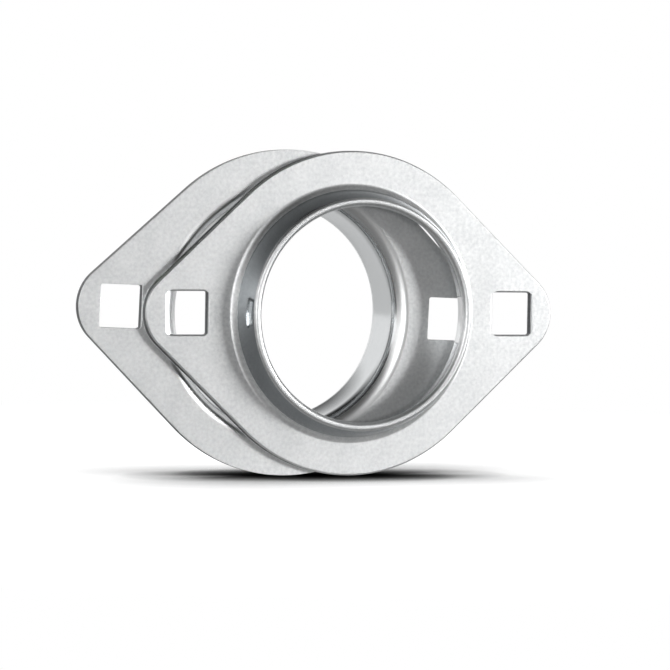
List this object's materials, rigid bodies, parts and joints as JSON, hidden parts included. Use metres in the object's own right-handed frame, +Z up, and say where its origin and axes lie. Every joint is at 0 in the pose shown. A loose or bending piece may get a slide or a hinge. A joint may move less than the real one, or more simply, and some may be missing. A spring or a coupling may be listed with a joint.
{
  "type": "flanged bearing housing",
  "caption": "Two-bolt flanged bearing housing: a pair of pressed sheet-steel halves with square bolt holes and a ball-shaped bearing seat.",
  "frame": {"origin": "centre of the front half's bearing seat, on the face where the two halves meet", "axes": "+X along the line through the front half's bolt holes, +Y along the bore axis from the front half to the rear half, +Z up"},
  "size_m": [0.1093, 0.0192, 0.071],
  "materials": {
    "zinc_plated_steel": "bright zinc plate on pressed sheet, satin with a fine mottle"
  },
  "bodies": {
    "front": {"front_half": "zinc_plated_steel"},
    "rear": {"rear_half": "zinc_plated_steel"}
  },
  "joints": [
    {"name": "halves_part", "type": "slide", "parent": "front", "child": "rear", "axis": [0, 1, 0], "range_m": [0, 0.03]}
  ]
}
